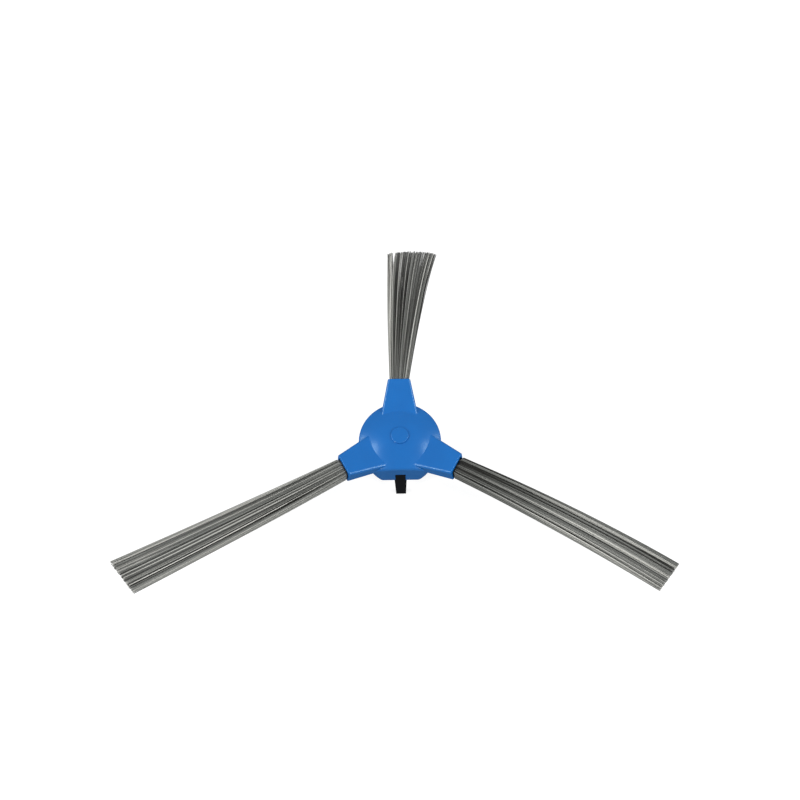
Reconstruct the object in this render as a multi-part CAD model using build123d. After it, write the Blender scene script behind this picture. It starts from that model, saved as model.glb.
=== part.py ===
"""Side brush of a robot vacuum: a moulded hub, the drive coupling under it and three bristle tufts.

The axis of the brush is Z, with the dome on top. The seat of the hub is the plane Z = 0.
One arm points along +Y. Lengths are in millimetres and angles in degrees.
"""

import os
from math import cos, radians, sin, sqrt, tan

from build123d import *

# Reach of the bristles from the axis
SWEEP_RADIUS = 65.0

# Hub: a domed disc whose skirt narrows towards the seat, with one flat at the front between two arms
HUB_RADIUS = 9.6
HUB_HEIGHT = 9.7
DOME_RADIUS = 18.75
SKIRT_DRAFT = 6.0
FLAT_DEPTH = 1.9
FLAT_CORNER = 1.5
RIM_FILLET = 0.7
SEAT_FILLET = 0.5
MARK_RADIUS = 2.05
MARK_HEIGHT = 0.3
MARK_FILLET = 0.2

# Arms: wider towards the hub, with a top that rises outwards to just above the dome
# and an end face whose lower lip stands further out than its top edge
ARM_AZIMUTHS = {"rear": 90.0, "left": 210.0, "right": 330.0}
ARM_REACH = 14.2
ARM_START = 3.0
ARM_END_WIDTH = 5.0
ARM_TAPER = 11.4
ARM_END_LIFT = 0.85
ARM_TOP_RISE = 15.0
ARM_END_DEPTH = 4.3
ARM_END_SLANT = 13.0
ARM_UNDERSIDE_RISE = 6.0
ARM_EDGE_FILLET = 0.6
ARM_END_FILLET = 0.2

# Sockets in the arm ends, with a groove round the tuft at the mouth
SOCKET_SIDE_WALL = 0.3
SOCKET_ROOF = 0.6
SOCKET_FLOOR = 0.45
SOCKET_DEPTH = 2.6
SOCKET_TILT = 9.0
SOCKET_CORNER = 0.5
MOUTH_GAP = 0.2
MOUTH_GROOVE = 0.7
FIT_CLEARANCE = 0.05

# Drive coupling: a plug with a bore, and one leg behind the wall of the flat
PLUG_RADIUS = 4.0
PLUG_HEIGHT = 6.0
BORE_RADIUS = 2.0
LEG_COVER = 0.9
LEG_THICKNESS = 1.8
LEG_ROOT_WIDTH = 3.05
LEG_TIP_WIDTH = 2.65
LEG_ROOT_HEIGHT = 4.8
LEG_DROP = 16.5
LEG_LEAD_LENGTH = 1.1
LEG_LEAD_DEPTH = 0.5
NOTCH_WIDTH = 2.45
NOTCH_HEIGHT = 4.5

# Bristle tufts: bundles that swell just outside their sockets and then fan out, with their filaments
# gathered into ribs. Rib flats are shares of the rib's width, and grooves at the tip of the thickness.
TUFT_SWELL_LENGTH = 0.5
TUFT_ROOT_WIDTH = 4.9
TUFT_ROOT_THICKNESS = 3.9
TUFT_RIBS = 8
TUFT_RIB_FLAT = 0.5
TUFT_GROOVE = 0.5
TUFT_SQUARENESS = 4.0
TUFT_STATIONS = 5

# Each tuft's own splay: width at the tip, climb and sideways lean from the socket to the tip,
# sideways bow at mid-length, and turn of the cut end in plan
TUFT_SPLAY = {
    "rear": {"tip_width": 15.0, "climb": -9.8, "lean": -4.4, "bow": -0.9, "cut_turn": -1.7},
    "left": {"tip_width": 9.0, "climb": -1.4, "lean": -3.15, "bow": 0.3, "cut_turn": 15.5},
    "right": {"tip_width": 8.0, "climb": -6.3, "lean": 2.0, "bow": -0.05, "cut_turn": -15.5},
}

# Sizes that follow from those above
RIM_HEIGHT = HUB_HEIGHT - DOME_RADIUS + sqrt(DOME_RADIUS**2 - HUB_RADIUS**2)
SEAT_RADIUS = HUB_RADIUS - RIM_HEIGHT * tan(radians(SKIRT_DRAFT))
FLAT_DISTANCE = HUB_RADIUS - FLAT_DEPTH
LEG_FRONT = FLAT_DISTANCE - LEG_COVER - FIT_CLEARANCE
ARM_END_TOP = HUB_HEIGHT + ARM_END_LIFT
ARM_LIP_REACH = ARM_REACH + ARM_END_DEPTH * tan(radians(ARM_END_SLANT))
SOCKET_WIDTH = ARM_END_WIDTH - 2 * SOCKET_SIDE_WALL
SOCKET_HEIGHT = ARM_END_DEPTH - SOCKET_ROOF - SOCKET_FLOOR
SOCKET_MID = ARM_END_TOP - SOCKET_ROOF - SOCKET_HEIGHT / 2
MOUTH_REACH = ARM_REACH + (ARM_END_TOP - SOCKET_MID) * tan(radians(ARM_END_SLANT))


def turned(shape, azimuth):
    """Turn a shape that points along +X about the axis of the brush."""
    return Rot(Z=azimuth) * shape


def hub_core():
    """The domed disc, its flat and its rounded rim."""
    top_radius = SEAT_RADIUS + HUB_HEIGHT * tan(radians(SKIRT_DRAFT))
    skirt = Cone(SEAT_RADIUS, top_radius, HUB_HEIGHT, align=(Align.CENTER, Align.CENTER, Align.MIN))
    ball = Pos(0, 0, HUB_HEIGHT - DOME_RADIUS) * Sphere(DOME_RADIUS)
    beyond_flat = Pos(0, -FLAT_DISTANCE - HUB_RADIUS) * Rectangle(2 * HUB_RADIUS, 2 * HUB_RADIUS)
    core = (skirt & ball) - extrude(beyond_flat, HUB_HEIGHT)
    flat_edges = core.faces().sort_by(Axis.Y)[0].edges().sort_by(Axis.X)
    core = fillet([flat_edges[0], flat_edges[-1]], FLAT_CORNER)
    core = fillet(core.faces().filter_by(GeomType.SPHERE).edges(), RIM_FILLET)
    return fillet(core.faces().sort_by(Axis.Z)[0].edges(), SEAT_FILLET)


def dome_mark():
    """The low round mark on top of the dome."""
    ball = Pos(0, 0, HUB_HEIGHT - DOME_RADIUS) * Sphere(DOME_RADIUS + MARK_HEIGHT)
    mark = extrude(Circle(MARK_RADIUS), HUB_HEIGHT + MARK_HEIGHT) & ball
    return fillet(mark.faces().filter_by(GeomType.SPHERE).edges(), MARK_FILLET)


def arm():
    """One arm along +X, solid, with its long edges and its end rounded."""
    end_floor = ARM_END_TOP - ARM_END_DEPTH
    start_top = ARM_END_TOP - (ARM_REACH - ARM_START) * tan(radians(ARM_TOP_RISE))
    start_floor = end_floor - (ARM_LIP_REACH - ARM_START) * tan(radians(ARM_UNDERSIDE_RISE))
    end_side = ARM_END_WIDTH / 2
    start_side = end_side + (ARM_LIP_REACH - ARM_START) * tan(radians(ARM_TAPER))
    profile = make_face(Polyline(
        (ARM_START, start_floor),
        (ARM_LIP_REACH, end_floor),
        (ARM_REACH, ARM_END_TOP),
        (ARM_START, start_top),
        close=True,
    ))
    plan = make_face(Polyline(
        (ARM_START, -start_side),
        (ARM_LIP_REACH, -end_side),
        (ARM_LIP_REACH, end_side),
        (ARM_START, start_side),
        close=True,
    ))
    wedge = extrude(Plane.XZ * profile, start_side, both=True) & extrude(plan, ARM_END_TOP)
    sides = wedge.faces().sort_by(Axis.Y)
    long_edges = [
        edge
        for side in (sides[0], sides[-1])
        for edge in side.edges()
        if abs(edge.tangent_at(0.5).Z) < abs(edge.tangent_at(0.5).X)
    ]
    wedge = fillet(long_edges, ARM_EDGE_FILLET)
    return fillet(wedge.faces().sort_by(Axis.X)[-1].edges(), ARM_END_FILLET)


def socket_plane():
    """The mouth of the socket in the arm along +X, facing outwards."""
    outward = (cos(radians(SOCKET_TILT)), 0, sin(radians(SOCKET_TILT)))
    return Plane(origin=(MOUTH_REACH, 0, SOCKET_MID), x_dir=(0, 1, 0), z_dir=outward)


def socket_block(clearance, depth, overrun):
    """A block with the socket's section: from depth inside the mouth to overrun outside it."""
    section = RectangleRounded(SOCKET_WIDTH - 2 * clearance, SOCKET_HEIGHT - 2 * clearance, SOCKET_CORNER)
    return socket_plane() * Pos(0, 0, -depth) * extrude(section, depth + overrun)


def coupling_pocket():
    """The room in the underside of the hub for the coupling, with the notch in front of the leg."""
    plug_room = extrude(Circle(PLUG_RADIUS + FIT_CLEARANCE), PLUG_HEIGHT + FIT_CLEARANCE)
    slot_length = LEG_FRONT + FIT_CLEARANCE
    slot = Pos(0, -slot_length / 2) * Rectangle(LEG_ROOT_WIDTH + 2 * FIT_CLEARANCE, slot_length)
    slot_room = extrude(slot, LEG_ROOT_HEIGHT + FIT_CLEARANCE)
    notch = extrude(Pos(0, -HUB_RADIUS / 2) * Rectangle(NOTCH_WIDTH, HUB_RADIUS), NOTCH_HEIGHT)
    return plug_room + slot_room + notch


def hub_body():
    """The moulding: dome, mark, arms and sockets."""
    body = hub_core() + dome_mark()
    for azimuth in ARM_AZIMUTHS.values():
        body += turned(arm(), azimuth)
    for azimuth in ARM_AZIMUTHS.values():
        body -= turned(socket_block(0, SOCKET_DEPTH, SOCKET_DEPTH), azimuth)
    return body - coupling_pocket()


def coupling_leg():
    """The leg at the front: flat, tapered, with a lead-in at its tip."""
    back = LEG_FRONT - LEG_THICKNESS
    lead_top = LEG_LEAD_LENGTH - LEG_DROP
    profile = make_face(Polyline(
        (-back, LEG_ROOT_HEIGHT),
        (-LEG_FRONT, LEG_ROOT_HEIGHT),
        (-LEG_FRONT, lead_top),
        (LEG_LEAD_DEPTH - LEG_FRONT, -LEG_DROP),
        (-back, -LEG_DROP),
        close=True,
    ))
    outline = make_face(Polyline(
        (-LEG_ROOT_WIDTH / 2, LEG_ROOT_HEIGHT),
        (-LEG_ROOT_WIDTH / 2, 0),
        (-LEG_TIP_WIDTH / 2, -LEG_DROP),
        (LEG_TIP_WIDTH / 2, -LEG_DROP),
        (LEG_ROOT_WIDTH / 2, 0),
        (LEG_ROOT_WIDTH / 2, LEG_ROOT_HEIGHT),
        close=True,
    ))
    slab = extrude(Plane.YZ * profile, LEG_ROOT_WIDTH, both=True)
    return slab & extrude(Plane.XZ * outline, LEG_FRONT)


def drive_coupling():
    """The plug with its bore, the bridge to the front and the leg."""
    plug = extrude(Circle(PLUG_RADIUS), PLUG_HEIGHT)
    bridge = extrude(Pos(0, -LEG_FRONT / 2) * Rectangle(LEG_ROOT_WIDTH, LEG_FRONT), LEG_ROOT_HEIGHT)
    bore = extrude(Circle(BORE_RADIUS), PLUG_HEIGHT)
    return plug + bridge + coupling_leg() - bore


def tuft_section(plane, width, thickness, groove):
    """One section across a tuft: flat ribs along its top and bottom, with a groove between each two."""
    flat_start = (1 - TUFT_RIB_FLAT) / 2
    rib_profile = ((0, 1 - groove), (flat_start, 1), (1 - flat_start, 1))
    top = []
    for rib in range(TUFT_RIBS):
        for place, fullness in rib_profile:
            across = 2 * (rib + place) / TUFT_RIBS - 1
            up = fullness * (1 - abs(across)**TUFT_SQUARENESS) ** (1 / TUFT_SQUARENESS)
            top.append((across * width / 2, up * thickness / 2))
    bottom = [(-across, -up) for across, up in top]
    return plane * make_face(Polyline(*top, *bottom, close=True))


def tuft_plane(splay, share):
    """The plane across a tuft along +X, at a share of the way from its mouth to its tip."""
    lean = splay["lean"]
    # A parabola leaves its chord at four times its bow over its length
    bow_slope = 4 * splay["bow"]
    run = sqrt(SWEEP_RADIUS**2 - lean**2) - MOUTH_REACH
    neck_rise = run * tan(radians(SOCKET_TILT))
    droop = splay["climb"] - neck_rise
    sideways = bow_slope * share + (lean - bow_slope) * share**2
    height = SOCKET_MID + neck_rise * share + droop * share**2
    side_slope = bow_slope + 2 * (lean - bow_slope) * share
    # The sections turn evenly, from square across the socket to along the cut end
    turn = radians(splay["cut_turn"]) * share
    outward = run * cos(turn) + side_slope * sin(turn)
    return Plane(
        origin=(MOUTH_REACH + run * share, sideways, height),
        x_dir=(-sin(turn), cos(turn), 0),
        z_dir=(outward * cos(turn), outward * sin(turn), neck_rise + 2 * droop * share),
    )


def bristle_tuft(splay):
    """One tuft along +X: a root in the socket, a neck in the mouth and a flared, drooping bundle."""
    neck = (SOCKET_WIDTH - 2 * MOUTH_GAP, SOCKET_HEIGHT - 2 * MOUTH_GAP)
    sections = [
        tuft_section(socket_plane().offset(-MOUTH_GROOVE), *neck, 0),
        tuft_section(tuft_plane(splay, 0), *neck, 0),
    ]
    swell = TUFT_SWELL_LENGTH / (SWEEP_RADIUS - MOUTH_REACH)
    for station in range(TUFT_STATIONS + 1):
        flare = station / TUFT_STATIONS
        width = TUFT_ROOT_WIDTH + (splay["tip_width"] - TUFT_ROOT_WIDTH) * flare
        # The section keeps its area as the tuft fans out
        thickness = TUFT_ROOT_WIDTH * TUFT_ROOT_THICKNESS / width
        plane = tuft_plane(splay, swell + (1 - swell) * flare)
        sections.append(tuft_section(plane, width, thickness, TUFT_GROOVE * flare))
    root = socket_block(FIT_CLEARANCE, SOCKET_DEPTH - FIT_CLEARANCE, -MOUTH_GROOVE)
    return root + loft(sections, ruled=True)


nodes = {"hub_body": hub_body(), "drive_coupling": drive_coupling()}
for side, azimuth in ARM_AZIMUTHS.items():
    nodes[f"bristle_tuft_{side}"] = turned(bristle_tuft(TUFT_SPLAY[side]), azimuth)

os.makedirs("parts", exist_ok=True)
for name, shape in nodes.items():
    export_step(shape, f"parts/{name}.step")
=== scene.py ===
"""Looks of a robot vacuum side brush: plastics on its hub and coupling, and nylon filaments for its tufts.

Sizes are in millimetres and angles in degrees, as in the part's source. Blender's own units are metres.
"""

from math import cos, pi, radians, sin, sqrt, tan

import bpy
import numpy as np
from mathutils import Matrix, Vector


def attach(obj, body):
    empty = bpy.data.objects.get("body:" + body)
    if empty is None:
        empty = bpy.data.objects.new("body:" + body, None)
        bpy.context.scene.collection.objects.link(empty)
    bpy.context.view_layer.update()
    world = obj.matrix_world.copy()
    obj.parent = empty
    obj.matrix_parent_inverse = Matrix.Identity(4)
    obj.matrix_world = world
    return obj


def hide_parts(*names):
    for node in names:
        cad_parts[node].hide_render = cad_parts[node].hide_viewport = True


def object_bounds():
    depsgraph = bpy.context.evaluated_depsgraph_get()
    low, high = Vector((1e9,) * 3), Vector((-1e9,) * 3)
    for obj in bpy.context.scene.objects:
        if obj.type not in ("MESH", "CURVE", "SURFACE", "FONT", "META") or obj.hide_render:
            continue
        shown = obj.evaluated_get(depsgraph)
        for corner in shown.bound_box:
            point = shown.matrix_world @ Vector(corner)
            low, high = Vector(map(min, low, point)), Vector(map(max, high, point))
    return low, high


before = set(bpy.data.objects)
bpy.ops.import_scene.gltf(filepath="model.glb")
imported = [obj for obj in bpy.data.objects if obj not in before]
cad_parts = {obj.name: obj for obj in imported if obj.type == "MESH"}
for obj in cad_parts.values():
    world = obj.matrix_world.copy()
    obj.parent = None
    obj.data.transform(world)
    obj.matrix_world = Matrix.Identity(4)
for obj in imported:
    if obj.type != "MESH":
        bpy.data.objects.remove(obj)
cad_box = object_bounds()

MM = 0.001

# Camera, aimed at the top of the dome
IMAGE_SIZE = 800
AIM_HEIGHT = 9.7
AIM_PIXEL = (399.7, 435.2)
FOCAL_PIXELS = 442.0
CAMERA_DISTANCE = 100.0
CAMERA_AZIMUTH = 1.1
CAMERA_ELEVATION = 67.2
CAMERA_ROLL = -1.9
NEAR_CLIP = 1.0

# Moulded plastics: the CAD node, the dark and light ends of a slow drift of colour, the share, tint and
# range of roughness of the shine, and the strength of the grain. Noise scales are in features per metre.
PLASTICS = {
    "hub_plastic": {
        "node": "hub_body",
        "dark": (0.002, 0.115, 0.411), "light": (0.003, 0.128, 0.449),
        "shine": 0.04, "tint": (0.62, 0.86, 0.92), "roughness": (0.2, 0.28), "grain": 0.08,
    },
    "coupling_plastic": {
        "node": "drive_coupling",
        "dark": (0.003, 0.003, 0.0035), "light": (0.006, 0.006, 0.007),
        "shine": 0.008, "tint": (0.8, 0.9, 1.0), "roughness": (0.42, 0.58), "grain": 0.25,
    },
}
DRIFT_NOISE = {"scale": 160.0, "detail": 3.0}
DRIFT_STOPS = (0.3, 0.7)
SHINE_NOISE = {"scale": 900.0, "detail": 4.0}
GRAIN_NOISE = {"scale": 5200.0, "detail": 2.0}
GRAIN_HEIGHT = 0.02

# Nylon of the filaments, with its greys by tone, from 0 for dark to 1 for pale
NYLON_GREYS = [(0.0, (0.02, 0.02, 0.018)), (0.5, (0.23, 0.236, 0.222)), (1.0, (0.72, 0.715, 0.67))]
NYLON_SPECULAR = 0.15
NYLON_ROUGHNESS = (0.3, 0.5)
NYLON_SHINE_NOISE = {"scale": 700.0, "detail": 3.0}
NYLON_GRAIN = 0.15
NYLON_GRAIN_NOISE = {"scale": 3000.0, "detail": 2.0}
NYLON_GRAIN_HEIGHT = 0.01

# Bundles of filaments, with the sizes of the CAD tufts
SWEEP_RADIUS = 65.0
MOUTH_REACH = 14.71
MOUTH_HEIGHT = 8.325
SOCKET_TILT = 9.0
ROOT_DEPTH = 2.5
NECK_WIDTH = 4.0
NECK_THICKNESS = 2.85
SWELL_LENGTH = 0.5
BODY_WIDTH = 4.9
BODY_THICKNESS = 3.9
SQUARENESS = 4.0
RIBS = 8
RIB_FLAT = 0.5
GROOVE = 0.5

# Filaments: scatter at the root and tip is a share of half the section, and that of the length a share of it
FILAMENT_DIAMETER = 0.2
FILAMENT_PITCH = 0.2
FILAMENT_SIDES = 6
FILAMENT_STEPS = 14
ROOT_JITTER = 0.02
TIP_SCATTER = 0.03
LENGTH_SCATTER = 0.0015
FILAMENT_BOW = 0.07

# Tones: how they vary between filaments and between streaks of filaments, the painted shade that darkens the
# grooves, and the shares of the length over which the contrast and the mean, with its painted shade, change
# from those at the root
TONE_SPREAD = 0.08
STREAK_WIDTH = 0.22
STREAK_SPREAD = 0.33
GROOVE_SHADE = 0.5
ROOT_CONTRAST_SHARE = 0.25
ROOT_SHADING_SHARE = 0.5

# How the filaments gather on the ribs, how much the lower ones outreach the upper ones for their depth, the
# share of a tuft's crown that lies beyond the cut end, and the parting that opens at the tip near one edge
GATHER = 0.1
UNDERCUT = 0.8
CROWN_LEVEL = 0.67
PARTING_PLACE = 0.75
PARTING_FADE = 0.15
PARTING_POWER = 5

# Each tuft's own splay, as in the part's source, how much its middle filaments outreach the outer ones, its
# parting and its seed, then its mean tone, the side and added tone of its painted highlight on one edge rib,
# and the contrast at its root and the painted shade there, a slight painted light on the rear tuft
TUFTS = {
    "rear": {
        "azimuth": 90.0, "tip_width": 15.0, "climb": -9.8, "lean": -4.4, "bow": -0.9, "cut_turn": -1.7,
        "crown": 1.8, "parting": 0.06, "seed": 1,
        "tone": 0.46, "highlight_side": 1.0, "highlight_tone": 0.38, "root_contrast": 0.45, "root_shading": 0.06,
    },
    "left": {
        "azimuth": 210.0, "tip_width": 9.0, "climb": -1.4, "lean": -3.15, "bow": 0.3, "cut_turn": 15.5,
        "crown": 0.0, "parting": 0.0, "seed": 107,
        "tone": 0.56, "highlight_side": 1.0, "highlight_tone": 0.15, "root_contrast": 0.45, "root_shading": -0.04,
    },
    "right": {
        "azimuth": 330.0, "tip_width": 8.0, "climb": -6.3, "lean": 2.0, "bow": -0.05, "cut_turn": -15.5,
        "crown": 0.0, "parting": 0.0, "seed": 752,
        "tone": 0.51, "highlight_side": -1.0, "highlight_tone": 0.15, "root_contrast": 1.0, "root_shading": -0.45,
    },
}

# Softboxes: where each stands seen from the brush, its width and height, and its power in watts
SOFTBOXES = {
    "left_box": {"azimuth": -95.0, "elevation": 47.0, "size": (140.0, 120.0), "power": 0.46},
    "right_box": {"azimuth": 95.0, "elevation": 47.0, "size": (140.0, 120.0), "power": 0.38},
    "left_front_box": {"azimuth": -55.0, "elevation": 41.0, "size": (80.0, 110.0), "power": 0.58},
    "right_front_box": {"azimuth": 55.0, "elevation": 41.0, "size": (80.0, 110.0), "power": 0.58},
    "left_rear_box": {"azimuth": -111.0, "elevation": 24.0, "size": (100.0, 200.0), "power": 0.36},
    "right_rear_box": {"azimuth": 111.0, "elevation": 24.0, "size": (100.0, 200.0), "power": 0.36},
}
SOFTBOX_DISTANCE = 420.0
WORLD_LIGHT = 0.25

# Floor just under the lowest point of the brush. Its own glow grows to white away from the brush, where the
# light of the softboxes falls off.
FLOOR_GAP = 0.05
FLOOR_SIZE = 20000.0
FLOOR_DIFFUSE = 0.35
FLOOR_GLOW = 0.73
GLOW_START = 100.0
GLOW_END = 600.0

# Reach of a tuft outside its socket, and the shares of it at which the filaments start and the swell ends
FREE_LENGTH = SWEEP_RADIUS - MOUTH_REACH
START_SHARE = -ROOT_DEPTH / FREE_LENGTH
SWELL_SHARE = SWELL_LENGTH / FREE_LENGTH


def new_material(name):
    """A new node material, its node tree and its principled shader."""
    material = bpy.data.materials.new(name)
    material.use_nodes = True
    tree = material.node_tree
    return material, tree, tree.nodes["Principled BSDF"]


def add_object(name, data):
    """A new object in the scene."""
    thing = bpy.data.objects.new(name, data)
    bpy.context.scene.collection.objects.link(thing)
    return thing


def noise(tree, scale, detail):
    """A noise texture in the object's own coordinates."""
    place = tree.nodes.new("ShaderNodeTexCoord")
    texture = tree.nodes.new("ShaderNodeTexNoise")
    texture.inputs["Scale"].default_value = scale
    texture.inputs["Detail"].default_value = detail
    tree.links.new(place.outputs["Object"], texture.inputs["Vector"])
    return texture.outputs["Fac"]


def ramp(tree, factor, stops):
    """Colours picked along a factor."""
    node = tree.nodes.new("ShaderNodeValToRGB")
    elements = node.color_ramp.elements
    while len(elements) < len(stops):
        elements.new(1.0)
    for element, (position, colour) in zip(elements, stops):
        element.position = position
        element.color = (*colour, 1.0)
    tree.links.new(factor, node.inputs["Fac"])
    return node.outputs["Color"]


def spread(tree, factor, low, high, start=0.0, end=1.0):
    """A factor from start to end, mapped to the range from low to high."""
    node = tree.nodes.new("ShaderNodeMapRange")
    node.inputs["From Min"].default_value = start
    node.inputs["From Max"].default_value = end
    node.inputs["To Min"].default_value = low
    node.inputs["To Max"].default_value = high
    tree.links.new(factor, node.inputs["Value"])
    return node.outputs["Result"]


def bump(tree, factor, strength, height):
    """A normal bumped by a factor that stands for heights up to the given one."""
    node = tree.nodes.new("ShaderNodeBump")
    node.inputs["Strength"].default_value = strength
    node.inputs["Distance"].default_value = height * MM
    tree.links.new(factor, node.inputs["Height"])
    return node.outputs["Normal"]


def moulded_plastic(name, plastic):
    """A moulded plastic: a slow drift of colour under an uneven, tinted shine with a fine grain."""
    material, tree, shader = new_material(name)
    stops = zip(DRIFT_STOPS, (plastic["dark"], plastic["light"]))
    colour = ramp(tree, noise(tree, **DRIFT_NOISE), list(stops))
    normal = bump(tree, noise(tree, **GRAIN_NOISE), plastic["grain"], GRAIN_HEIGHT)
    roughness = spread(tree, noise(tree, **SHINE_NOISE), *plastic["roughness"])
    # The shine is a shader of its own, so that it can have a tint
    shader.inputs["Specular IOR Level"].default_value = 0.0
    gloss = tree.nodes.new("ShaderNodeBsdfAnisotropic")
    gloss.inputs["Color"].default_value = (*plastic["tint"], 1.0)
    mix = tree.nodes.new("ShaderNodeMixShader")
    mix.inputs["Fac"].default_value = plastic["shine"]
    tree.links.new(colour, shader.inputs["Base Color"])
    tree.links.new(normal, shader.inputs["Normal"])
    tree.links.new(roughness, gloss.inputs["Roughness"])
    tree.links.new(normal, gloss.inputs["Normal"])
    tree.links.new(shader.outputs["BSDF"], mix.inputs[1])
    tree.links.new(gloss.outputs["BSDF"], mix.inputs[2])
    tree.links.new(mix.outputs["Shader"], tree.nodes["Material Output"].inputs["Surface"])
    return material


def nylon_filament():
    """Nylon filament: greys by the filaments' tones, with an uneven shine and a fine grain."""
    material, tree, shader = new_material("bristle_nylon")
    tone = tree.nodes.new("ShaderNodeAttribute")
    tone.attribute_name = "tone"
    colour = ramp(tree, tone.outputs["Fac"], NYLON_GREYS)
    roughness = spread(tree, noise(tree, **NYLON_SHINE_NOISE), *NYLON_ROUGHNESS)
    normal = bump(tree, noise(tree, **NYLON_GRAIN_NOISE), NYLON_GRAIN, NYLON_GRAIN_HEIGHT)
    shader.inputs["Specular IOR Level"].default_value = NYLON_SPECULAR
    tree.links.new(colour, shader.inputs["Base Color"])
    tree.links.new(roughness, shader.inputs["Roughness"])
    tree.links.new(normal, shader.inputs["Normal"])
    return material


def unit(vectors):
    """Vectors along the last axis, each of length 1."""
    return vectors / np.linalg.norm(vectors, axis=-1, keepdims=True)


def tuft_course(tuft, share):
    """The tuft's middle line, with the directions across and up from it, at shares of its length.

    The tuft points along +X. Shares below 0 lie in the socket.
    """
    lean = tuft["lean"]
    # A parabola leaves its chord at four times its bow over its length
    bow_slope = 4 * tuft["bow"]
    run = sqrt(SWEEP_RADIUS**2 - lean**2) - MOUTH_REACH
    neck_rise = run * tan(radians(SOCKET_TILT))
    droop = tuft["climb"] - neck_rise
    free = np.maximum(share, 0.0)
    sideways = bow_slope * free + (lean - bow_slope) * free**2
    height = MOUTH_HEIGHT + neck_rise * share + droop * free**2
    middle = np.stack([MOUTH_REACH + run * share, sideways, height], axis=-1)
    side_slope = bow_slope + 2 * (lean - bow_slope) * free
    # The sections turn evenly, from square across the socket to along the cut end
    turn = radians(tuft["cut_turn"]) * free
    outward = run * np.cos(turn) + side_slope * np.sin(turn)
    normal = np.stack([outward * np.cos(turn), outward * np.sin(turn), neck_rise + 2 * droop * free], axis=-1)
    across = np.stack([-np.sin(turn), np.cos(turn), np.zeros_like(turn)], axis=-1)
    return middle, across, np.cross(unit(normal), across)


def tuft_section(tuft, share):
    """The tuft's width and thickness at shares of its length, along the last axis."""
    stages = [0.0, SWELL_SHARE, 1.0]
    width = np.interp(share, stages, [NECK_WIDTH, BODY_WIDTH, tuft["tip_width"]])
    swelling = np.interp(share, stages[:2], [NECK_THICKNESS, BODY_THICKNESS])
    # Past the swell, the section keeps its area as the tuft fans out
    thickness = np.where(share > SWELL_SHARE, BODY_WIDTH * BODY_THICKNESS / width, swelling)
    return np.stack([width, thickness], axis=-1)


def root_places():
    """Where filaments sit in the socket: a staggered pattern in the root's section, from -1 to 1 each way."""
    half_width = (NECK_WIDTH - FILAMENT_DIAMETER) / 2
    half_thickness = (NECK_THICKNESS - FILAMENT_DIAMETER) / 2
    row_pitch = FILAMENT_PITCH * sin(pi / 3)
    places = []
    rows = int(half_thickness / row_pitch)
    columns = int(half_width / FILAMENT_PITCH) + 1
    for row in range(-rows, rows + 1):
        for column in range(-columns, columns + 1):
            across = (column + 0.5 * (row % 2)) * FILAMENT_PITCH / half_width
            up = row * row_pitch / half_thickness
            if abs(across)**SQUARENESS + abs(up)**SQUARENESS <= 1.0:
                places.append((across, up))
    return np.array(places)


def strip(across, strips):
    """Which of some even strips across the section each place is in."""
    return np.clip((across + 1.0) / 2.0 * strips, 0, strips - 1).astype(int)


def rib_fullness(across):
    """How much of the tip's thickness is filled at places across it: all on a rib, less in a groove."""
    place = (across + 1.0) / 2.0 * RIBS % 1.0
    from_groove = np.minimum(place, 1.0 - place)
    flat_start = (1.0 - RIB_FLAT) / 2.0
    return 1.0 - GROOVE * np.maximum(1.0 - from_groove / flat_start, 0.0)


def gathered(places, tuft, random):
    """Where the filaments' tips lie in the tip's section, and the tone of each filament, with painted shade
    in the grooves and a painted highlight on one edge rib.
    """
    tips = places.copy()
    rib_centre = (2.0 * strip(places[:, 0], RIBS) + 1.0) / RIBS - 1.0
    tips[:, 0] += GATHER * (rib_centre - places[:, 0])
    # Gathering pulls the outermost filaments in, so the section is stretched back to its width
    tips[:, 0] /= 1.0 - GATHER / RIBS
    fullness = rib_fullness(tips[:, 0])
    tips[:, 1] *= fullness
    tips = np.clip(tips + random.normal(0.0, TIP_SCATTER, places.shape), -1.0, 1.0)
    streaks = round(tuft["tip_width"] / STREAK_WIDTH)
    tone = random.normal(tuft["tone"], TONE_SPREAD, len(places))
    tone += random.normal(0.0, STREAK_SPREAD, streaks)[strip(tips[:, 0], streaks)]
    # Painted shade: filaments in the grooves between ribs are darkened
    tone -= GROOVE_SHADE * ((1.0 - fullness) / GROOVE)**2
    # Painted highlight: the filaments of the rib at one edge are made paler
    on_highlighted_rib = tuft["highlight_side"] * rib_centre > 1.0 - 2.0 / RIBS
    tone += tuft["highlight_tone"] * on_highlighted_rib
    return tips, np.clip(tone, 0.0, 1.0)


def parted(tips, tuft):
    """How far the parting pushes the filaments' tips aside."""
    aside = tips[:, 0] - PARTING_PLACE
    return tuft["parting"] * np.sign(aside) * np.exp(-np.abs(aside) / PARTING_FADE)


def filament_shares(tips, tuft, random):
    """The shares of the tuft's length at which each filament has its rings of points."""
    length = 1.0 + random.normal(0.0, LENGTH_SCATTER, len(tips))
    tip_half = BODY_WIDTH * BODY_THICKNESS / tuft["tip_width"] / 2
    longer = tuft["crown"] * (CROWN_LEVEL - tips[:, 0]**2) - UNDERCUT * tip_half * tips[:, 1]
    length += longer / FREE_LENGTH
    steps = np.concatenate([[START_SHARE, 0.0], np.linspace(SWELL_SHARE, 1.0, FILAMENT_STEPS)])
    return np.where(steps <= SWELL_SHARE, steps, steps * length[:, None])


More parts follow.
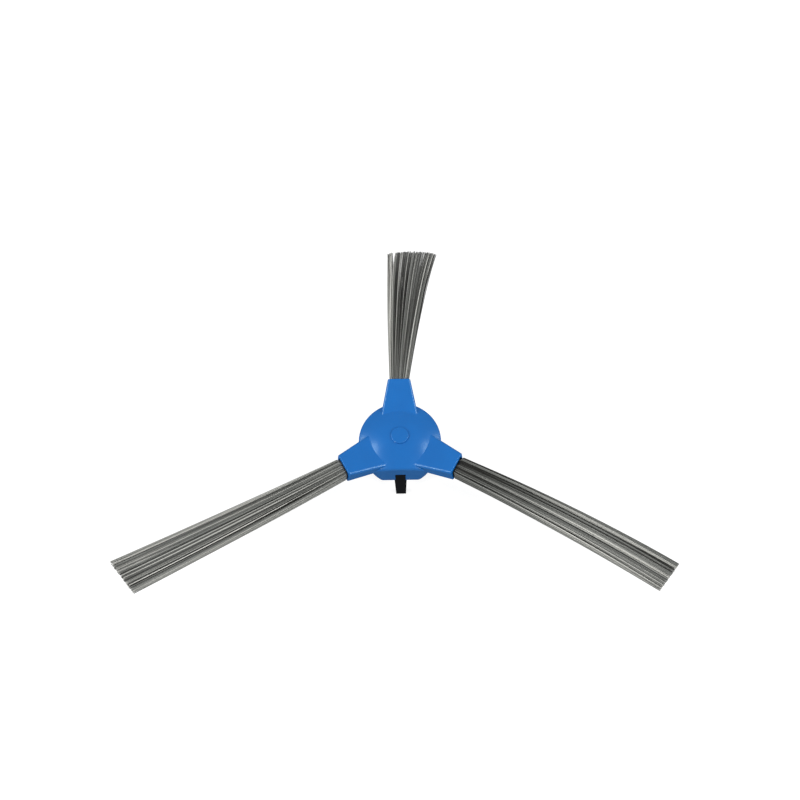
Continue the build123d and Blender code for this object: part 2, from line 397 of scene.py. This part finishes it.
def filament_points(places, tips, bow, share, tuft):
    """The rings of points round each filament, from its root to its tip."""
    middle, across, up = tuft_course(tuft, share)
    free = np.maximum(share, 0.0)
    place = places[:, None] + (tips - places)[:, None] * free[..., None]
    place[..., 0] += parted(tips, tuft)[:, None] * free**PARTING_POWER
    # The bow is a parabola, widest at mid-length and nothing at the mouth and the tip
    bowed = bow[:, None] * (4 * free * (1.0 - free))[..., None]
    offset = place * (tuft_section(tuft, share) - FILAMENT_DIAMETER) / 2 + bowed
    line = middle + across * offset[..., :1] + up * offset[..., 1:]
    angles = np.arange(FILAMENT_SIDES) * 2 * pi / FILAMENT_SIDES
    ring = across[..., None, :] * np.cos(angles)[:, None] + up[..., None, :] * np.sin(angles)[:, None]
    return line[..., None, :] + ring * FILAMENT_DIAMETER / 2


def filament_tones(tone, share, tuft):
    """The tones along each filament, which draw together towards the root and take a painted shade there, a
    slight painted light on the rear tuft.
    """
    contrast = np.interp(share, [0.0, ROOT_CONTRAST_SHARE], [tuft["root_contrast"], 1.0])
    # Painted shade near the root, fading out along the length; slightly positive, a painted light, on the
    # rear tuft
    added = np.interp(share, [0.0, ROOT_SHADING_SHARE], [tuft["root_shading"], 0.0])
    return tone.mean() + (tone - tone.mean())[:, None] * contrast + added


def filament_faces(filaments, rings):
    """The faces of closed tubes: four-sided ones between the rings and one at each end."""
    faces = []
    for filament in range(filaments):
        first = filament * rings * FILAMENT_SIDES
        last = first + (rings - 1) * FILAMENT_SIDES
        for lower in range(first, last, FILAMENT_SIDES):
            upper = lower + FILAMENT_SIDES
            for corner in range(FILAMENT_SIDES):
                following = (corner + 1) % FILAMENT_SIDES
                faces.append((lower + corner, lower + following, upper + following, upper + corner))
        faces.append(tuple(first + corner for corner in reversed(range(FILAMENT_SIDES))))
        faces.append(tuple(last + corner for corner in range(FILAMENT_SIDES)))
    return faces


def filament_bundle(side, tuft, material):
    """The bundle that stands for one CAD tuft, each filament a closed tube."""
    random = np.random.default_rng(tuft["seed"])
    places = root_places()
    tips, tone = gathered(places, tuft, random)
    places = places + random.normal(0.0, ROOT_JITTER, places.shape)
    share = filament_shares(tips, tuft, random)
    bow = random.normal(0.0, FILAMENT_BOW, places.shape)
    points = filament_points(places, tips, bow, share, tuft)
    faces = filament_faces(*share.shape)

    mesh = bpy.data.meshes.new(f"tuft_filaments_{side}")
    mesh.from_pydata((points.reshape(-1, 3) * MM).tolist(), [], faces)
    mesh.transform(Matrix.Rotation(radians(tuft["azimuth"]), 4, "Z"))
    # The tubes are smooth all round, and their ends are flat
    mesh.polygons.foreach_set("use_smooth", [len(face) == 4 for face in faces])
    tones = np.repeat(filament_tones(tone, share, tuft), FILAMENT_SIDES)
    mesh.attributes.new("tone", "FLOAT", "POINT").data.foreach_set("value", tones.astype(np.float32))
    mesh.materials.append(material)
    return add_object(mesh.name, mesh)


def stand(thing, azimuth, elevation, distance, aim_height=0.0, roll=0.0):
    """Stand a camera or a light away from a point on the brush's axis, facing it.

    An azimuth of 0 is the front and 90 the right.
    """
    level = cos(radians(elevation))
    back = Vector((
        level * sin(radians(azimuth)),
        -level * cos(radians(azimuth)),
        sin(radians(elevation)),
    ))
    thing.location = Vector((0.0, 0.0, aim_height * MM)) + back * distance * MM
    thing.rotation_mode = "QUATERNION"
    turn = Matrix.Rotation(radians(roll), 4, "Z").to_quaternion()
    thing.rotation_quaternion = (-back).to_track_quat("-Z", "Y") @ turn


def add_camera():
    """The camera at the photograph's viewing angle and framing."""
    data = bpy.data.cameras.new("camera")
    data.lens = data.sensor_width * FOCAL_PIXELS / IMAGE_SIZE
    data.shift_x = (IMAGE_SIZE / 2 - AIM_PIXEL[0]) / IMAGE_SIZE
    data.shift_y = (AIM_PIXEL[1] - IMAGE_SIZE / 2) / IMAGE_SIZE
    data.clip_start = NEAR_CLIP * MM
    camera = add_object("camera", data)
    stand(camera, CAMERA_AZIMUTH, CAMERA_ELEVATION, CAMERA_DISTANCE, AIM_HEIGHT, CAMERA_ROLL)
    bpy.context.scene.camera = camera


def add_softbox(name, box):
    """A rectangular soft light that faces the brush."""
    data = bpy.data.lights.new(name, "AREA")
    data.shape = "RECTANGLE"
    data.size, data.size_y = (length * MM for length in box["size"])
    data.energy = box["power"]
    stand(add_object(name, data), box["azimuth"], box["elevation"], SOFTBOX_DISTANCE)


def seen_directly(tree):
    """1 for camera, glossy and transmitted rays, and 0 for the rest."""
    path = tree.nodes.new("ShaderNodeLightPath")
    seen = path.outputs["Is Camera Ray"]
    for other in ("Is Glossy Ray", "Is Transmission Ray"):
        larger = tree.nodes.new("ShaderNodeMath")
        larger.operation = "MAXIMUM"
        tree.links.new(seen, larger.inputs[0])
        tree.links.new(path.outputs[other], larger.inputs[1])
        seen = larger.outputs["Value"]
    return seen


def add_world():
    """White where it is seen, and a plain fill light elsewhere."""
    world = bpy.data.worlds.new("studio")
    world.use_nodes = True
    tree = world.node_tree
    background = tree.nodes["Background"]
    background.inputs["Color"].default_value = (1.0, 1.0, 1.0, 1.0)
    strength = spread(tree, seen_directly(tree), WORLD_LIGHT, 1.0)
    tree.links.new(strength, background.inputs["Strength"])
    bpy.context.scene.world = world


def pale_floor():
    """The floor's material: a diffuse surface that takes shadows, and a glow where it is seen."""
    material, tree, shader = new_material("pale_floor")
    tree.nodes.remove(shader)
    diffuse = tree.nodes.new("ShaderNodeBsdfDiffuse")
    diffuse.inputs["Color"].default_value = (FLOOR_DIFFUSE, FLOOR_DIFFUSE, FLOOR_DIFFUSE, 1.0)
    place = tree.nodes.new("ShaderNodeTexCoord")
    away = tree.nodes.new("ShaderNodeVectorMath")
    away.operation = "LENGTH"
    tree.links.new(place.outputs["Object"], away.inputs[0])
    fade = spread(tree, away.outputs["Value"], FLOOR_GLOW, 1.0, GLOW_START * MM, GLOW_END * MM)
    brightness = tree.nodes.new("ShaderNodeMath")
    brightness.operation = "MULTIPLY"
    tree.links.new(fade, brightness.inputs[0])
    tree.links.new(seen_directly(tree), brightness.inputs[1])
    glow = tree.nodes.new("ShaderNodeEmission")
    tree.links.new(brightness.outputs["Value"], glow.inputs["Strength"])
    both = tree.nodes.new("ShaderNodeAddShader")
    tree.links.new(diffuse.outputs["BSDF"], both.inputs[0])
    tree.links.new(glow.outputs["Emission"], both.inputs[1])
    tree.links.new(both.outputs["Shader"], tree.nodes["Material Output"].inputs["Surface"])
    return material


def add_floor():
    """A pale floor that takes the brush's shadow."""
    low = cad_box[0].z - FLOOR_GAP * MM
    half = FLOOR_SIZE * MM / 2
    corners = [(-half, -half, low), (half, -half, low), (half, half, low), (-half, half, low)]
    mesh = bpy.data.meshes.new("floor")
    mesh.from_pydata(corners, [], [(0, 1, 2, 3)])
    mesh.materials.append(pale_floor())
    floor = add_object("floor", mesh)


# Plastics on the CAD hub and coupling
for name, plastic in PLASTICS.items():
    moulded = moulded_plastic(name, plastic)
    for material_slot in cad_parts[plastic["node"]].material_slots:
        material_slot.material = moulded

# Filaments in place of the CAD tufts
nylon = nylon_filament()
for side, tuft in TUFTS.items():
    bundle = filament_bundle(side, tuft, nylon)
    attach(bundle, "root")
    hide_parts(f"bristle_tuft_{side}")

bpy.context.scene.view_settings.view_transform = "Standard"
add_camera()
add_world()
add_floor()
for name, box in SOFTBOXES.items():
    add_softbox(name, box)
